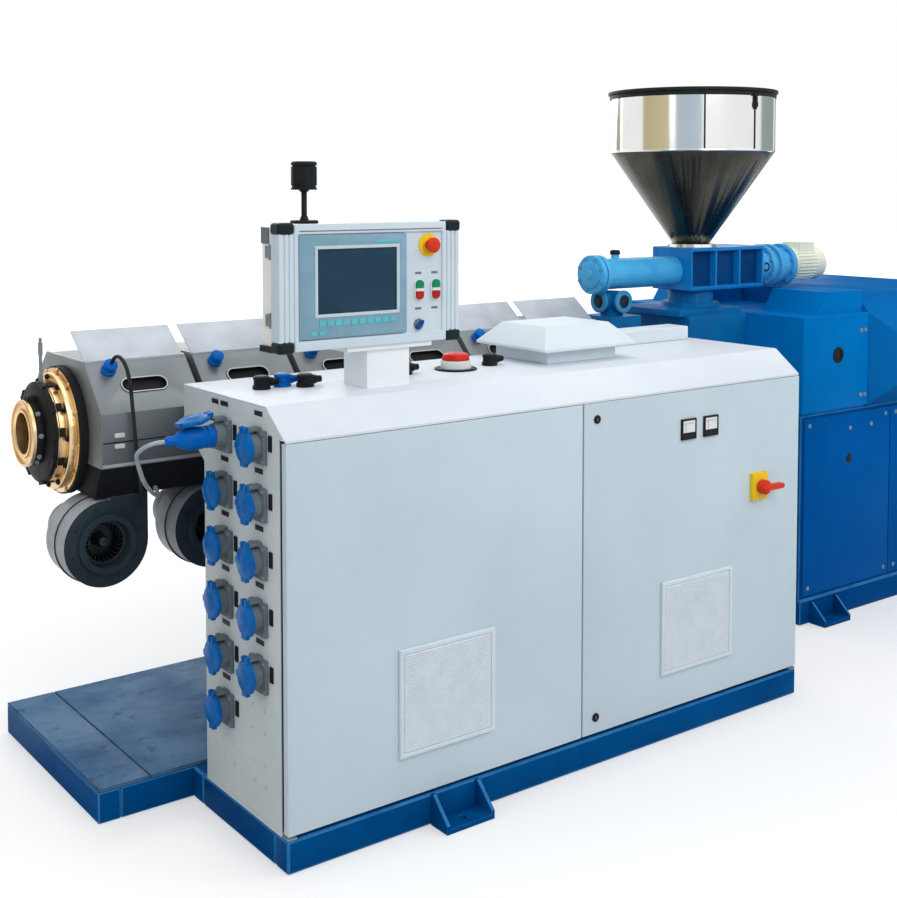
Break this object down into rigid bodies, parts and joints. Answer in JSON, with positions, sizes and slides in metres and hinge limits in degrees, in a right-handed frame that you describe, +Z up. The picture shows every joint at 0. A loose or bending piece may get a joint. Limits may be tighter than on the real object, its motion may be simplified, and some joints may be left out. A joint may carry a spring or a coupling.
{
  "type": "plastic extruder",
  "caption": "Plastic extruder with a covered heated barrel, hopper and screw feeder, geared drive and a floor cabinet with an operator terminal.",
  "frame": {"origin": "on the floor, in the middle of the machine's box", "axes": "+X along the barrel from the die end to the drive, +Y from the cabinet doors to the back, +Z up"},
  "size_m": [3.87, 1.4636, 1.9623],
  "materials": {
    "base_blue": "satin blue machine paint",
    "deck_blue": "worn blue deck paint",
    "door_paint": "textured pale blue-grey powder coat",
    "roof_paint": "pale grey powder coat",
    "wall_paint": "grey powder coat",
    "drive_blue": "gloss blue machine paint",
    "guard_blue": "light blue machine paint",
    "cover_steel": "brushed sheet",
    "flap_steel": "bright sheet",
    "hopper_steel": "polished stainless sheet",
    "barrel_steel": "turned steel",
    "head_gold": "gold passivated, machined",
    "pin_steel": "plain steel",
    "blower_grey": "dark grey painted casting",
    "motor_cream": "cream motor paint",
    "terminal_profile": "anodised profile",
    "terminal_cream": "cream powder coat",
    "bezel_blue": "grey-blue membrane",
    "screen_glass": "dark display glass",
    "black_plastic": "moulded black",
    "blue_plastic": "moulded blue",
    "grey_plastic": "moulded grey",
    "white_plastic": "moulded white",
    "yellow_plastic": "moulded yellow",
    "red_plastic": "moulded red",
    "green_plastic": "moulded green",
    "cable_sheath": "flexible sheath"
  },
  "bodies": {
    "machine": {"base_frame": "base_blue", "deck_plates": "deck_blue", "cabinet_plinth": "base_blue", "foot_brackets": "base_blue", "cabinet_floor": "wall_paint", "cabinet_ends": "wall_paint", "cabinet_back": "wall_paint", "cabinet_roof": "roof_paint", "door_pivots": "pin_steel", "socket_bodies": "grey_plastic", "socket_lids": "blue_plastic", "heater_plug": "blue_plastic", "plug_cable": "cable_sheath", "cover_cable": "cable_sheath", "roof_hood": "roof_paint", "roof_duct": "roof_paint", "roof_lamp": "white_plastic", "roof_glands": "black_plastic", "terminal_pedestal": "roof_paint", "terminal_case": "terminal_cream", "terminal_frame": "terminal_profile", "corner_caps": "black_plastic", "display_bezel": "bezel_blue", "display_glass": "screen_glass", "push_buttons": "green_plastic", "emergency_stop": "red_plastic", "signal_beacon": "black_plastic", "barrel": "barrel_steel", "barrel_head": "head_gold", "clamp_ring": "blower_grey", "die_adapter": "head_gold", "adapter_band": "blower_grey", "melt_sensor": "pin_steel", "barrel_covers": "cover_steel", "air_flaps": "flap_steel", "barrel_trough": "blower_grey", "cover_plugs": "blue_plastic", "blower_scrolls": "blower_grey", "blower_motors": "blower_grey", "barrel_support": "drive_blue", "vent_chamber": "drive_blue", "feed_block": "drive_blue", "feeder_tube": "drive_blue", "feeder_body": "drive_blue", "feeder_drive": "drive_blue", "feeder_motor": "motor_cream", "hopper_shell": "hopper_steel", "gear_frame": "drive_blue", "gear_panels": "drive_blue", "gearbox_cover": "drive_blue", "drive_guard": "guard_blue"},
    "left_door": {"left_door": "door_paint", "left_filter": "white_plastic"},
    "right_door": {"right_door": "door_paint", "right_filter": "white_plastic", "door_locks": "black_plastic", "door_meters": "black_plastic", "switch_plate": "yellow_plastic"},
    "switch_handle": {"switch_handle": "red_plastic"},
    "hopper_lid": {"hopper_lid": "black_plastic"}
  },
  "joints": [
    {"name": "left_door_hinge", "type": "hinge", "parent": "machine", "child": "left_door", "pos_m": [-1.601, -0.65175, 0.5], "axis": [0, 0, -1], "range_deg": [0, 115]},
    {"name": "right_door_hinge", "type": "hinge", "parent": "machine", "child": "right_door", "pos_m": [0.206, -0.65175, 0.5], "axis": [0, 0, 1], "range_deg": [0, 115]},
    {"name": "switch_turn", "type": "hinge", "parent": "right_door", "child": "switch_handle", "pos_m": [0.025, -0.68675, 0.692], "axis": [0, -1, 0], "range_deg": [0, 90]},
    {"name": "hopper_lid_hinge", "type": "hinge", "parent": "machine", "child": "hopper_lid", "pos_m": [0.64, 0.51675, 1.9523], "axis": [-1, 0, 0], "range_deg": [0, 100]}
  ]
}
